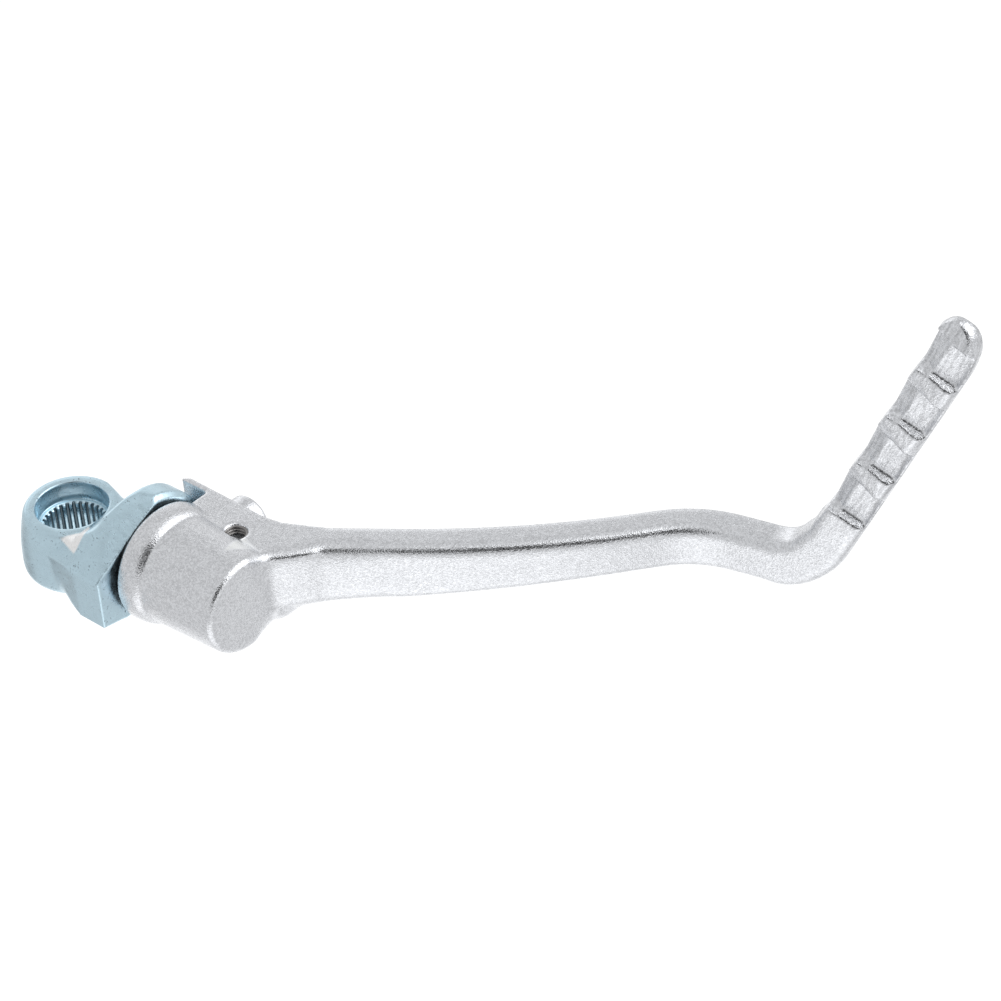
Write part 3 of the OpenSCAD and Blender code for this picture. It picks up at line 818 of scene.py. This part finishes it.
# The room's soft light: a base, and wide pools, each with the direction towards it, the cosines of the angles
# round it where its edge and its even middle end, and the brightness that it adds
ROOM_BASE = 0.72
ROOM_GLOWS = (
    ((0.60, 0.50, 0.62), 0.66, 0.97, 0.9),
    ((-0.86, 0.47, 0.17), 0.86, 0.98, 0.55),
    ((0.585, -0.575, 0.57), 0.82, 0.94, -0.70),
    ((0.86, -0.50, 0.03), 0.92, 0.98, 0.4),
    ((0.40, -0.06, 0.91), 0.955, 0.992, 0.6),
    ((-0.55, 0.55, 0.625), 0.84, 0.98, -0.08),
)

# The softbox: where it stands in metres, its width in metres and its power in watts
SOFTBOX_PLACE = (0.86, 0.72, 0.89)
SOFTBOX_WIDTH = 0.9
SOFTBOX_POWER = 3.4

# The photograph's camera: its direction from its target as turn and height, and its roll, all in degrees, its
# distance and its target in metres, its pixels per metre at the target, and the picture's width in pixels
CAMERA_ANGLES = (-45.122, 38.654, 5.243)
CAMERA_DISTANCE = 1.2
CAMERA_TARGET = (0.085598, 0.076993, 0.013200)
PIXELS_PER_METRE = 3717.0
PICTURE_WIDTH = 1001.0
SENSOR_WIDTH = 36.0


def studio_room():
    """The room's light by direction: a base and the wide pools. Each pool is a smooth step of the cosine
    between the direction and the pool's own."""
    world = bpy.data.worlds.new("studio")
    world.use_nodes = True
    tree = world.node_tree
    direction = add(tree, "ShaderNodeTexCoord").outputs["Generated"]
    parts = []
    for towards, edge, even, strength in ROOM_GLOWS:
        axis = tuple(np.array(towards) / np.linalg.norm(towards))
        parts.append(soft_step(tree, along(tree, direction, axis), edge, even, strength))
    total = joined(tree, "ADD", parts + [ROOM_BASE])
    feed(tree, tree.nodes["Background"], Strength=total, Color=(1.0, 1.0, 1.0, 1.0))
    return world


def studio_paper():
    """Dull paper that glows by its base and its pools of light."""
    material, tree, shader = new_material("pale studio paper")
    place = object_place(tree)
    parts = []
    for middle, reach, even, strength in FLOOR_GLOWS:
        away = add(tree, "ShaderNodeVectorMath", {"operation": "DISTANCE"}, _0=place, _1=middle)
        parts.append(soft_step(tree, away.outputs["Value"], reach, even, strength))
    total = joined(tree, "ADD", parts + [FLOOR_BASE])
    feed(tree, shader, Emission__Strength=total, Emission__Color=(1.0, 1.0, 1.0, 1.0))
    feed(tree, shader, Base__Color=colour("#202020"), Roughness=1.0)
    return material


def softbox():
    """A square soft light behind and above, turned to the lever."""
    data = bpy.data.lights.new("softbox", "AREA")
    data.shape = "SQUARE"
    data.size = SOFTBOX_WIDTH
    data.energy = SOFTBOX_POWER
    light = bpy.data.objects.new("softbox", data)
    bpy.context.scene.collection.objects.link(light)
    light.location = SOFTBOX_PLACE
    light.rotation_euler = Vector(SOFTBOX_PLACE).to_track_quat("Z", "Y").to_euler()


def photo_camera():
    """The photograph's camera, as it was found from the points seen in the photograph."""
    azimuth, elevation, roll = np.radians(CAMERA_ANGLES)
    back = np.array(
        [np.cos(elevation) * np.cos(azimuth), np.cos(elevation) * np.sin(azimuth), np.sin(elevation)]
    )
    level = np.array([-np.sin(azimuth), np.cos(azimuth), 0.0])
    rise = np.cross(back, level)
    right = np.cos(roll) * level - np.sin(roll) * rise
    up = np.sin(roll) * level + np.cos(roll) * rise
    place = np.array(CAMERA_TARGET) + CAMERA_DISTANCE * back
    data = bpy.data.cameras.new("photo_camera")
    data.sensor_width = SENSOR_WIDTH
    data.lens = SENSOR_WIDTH * PIXELS_PER_METRE * CAMERA_DISTANCE / PICTURE_WIDTH
    data.clip_start = 0.01
    data.clip_end = 20.0
    camera = bpy.data.objects.new("photo_camera", data)
    bpy.context.scene.collection.objects.link(camera)
    rows = [[right[k], up[k], back[k], place[k]] for k in range(3)]
    camera.matrix_world = Matrix(rows + [[0, 0, 0, 1]])
    bpy.context.scene.camera = camera


class KICKLEVER_OT_stage(bpy.types.Operator):
    """Plain pale floor, soft studio lights and the photograph's camera"""

    bl_idname = "kicklever.stage"
    bl_label = "Stage"

    def execute(self, context):
        scene = context.scene
        scene.view_settings.view_transform = "Standard"
        scene.view_settings.look = "None"
        scene.world = studio_room()
        square = ((-1, -1), (1, -1), (1, 1), (-1, 1))
        corners = [(u * FLOOR_SPAN, v * FLOOR_SPAN, FLOOR_Z) for u, v in square]
        floor = put("floor", corners, [(0, 1, 2, 3)], studio_paper(), smooth=False)
        softbox()
        photo_camera()
        return {"FINISHED"}


class KICKLEVER_PT_panel(bpy.types.Panel):
    """Steps and sizes of the kick start lever"""

    bl_label = "Kick lever"
    bl_idname = "KICKLEVER_PT_panel"
    bl_space_type = "VIEW_3D"
    bl_region_type = "UI"
    bl_category = "Kick lever"

    def draw(self, context):
        for step in STEPS:
            self.layout.operator(step.bl_idname)
        for group in (context.scene.kick_lever_sizes, context.scene.kick_lever_colours):
            for name in type(group).__annotations__:
                self.layout.prop(group, name)


STEPS = (
    KICKLEVER_OT_stage,
    KICKLEVER_OT_knuckle,
    KICKLEVER_OT_bore,
    KICKLEVER_OT_lever,
    KICKLEVER_OT_thread,
    KICKLEVER_OT_small_parts,
)
CLASSES = (KickLeverSizes, KickLeverColours) + STEPS + (KICKLEVER_PT_panel,)


def register():
    for cls in CLASSES:
        bpy.utils.register_class(cls)
    bpy.types.Scene.kick_lever_sizes = PointerProperty(type=KickLeverSizes)
    bpy.types.Scene.kick_lever_colours = PointerProperty(type=KickLeverColours)


def unregister():
    del bpy.types.Scene.kick_lever_colours
    del bpy.types.Scene.kick_lever_sizes
    for cls in reversed(CLASSES):
        bpy.utils.unregister_class(cls)


def main():
    register()
    for step in STEPS:
        group, name = step.bl_idname.split(".")
        getattr(getattr(bpy.ops, group), name)()


if __name__ == "__main__":
    main()
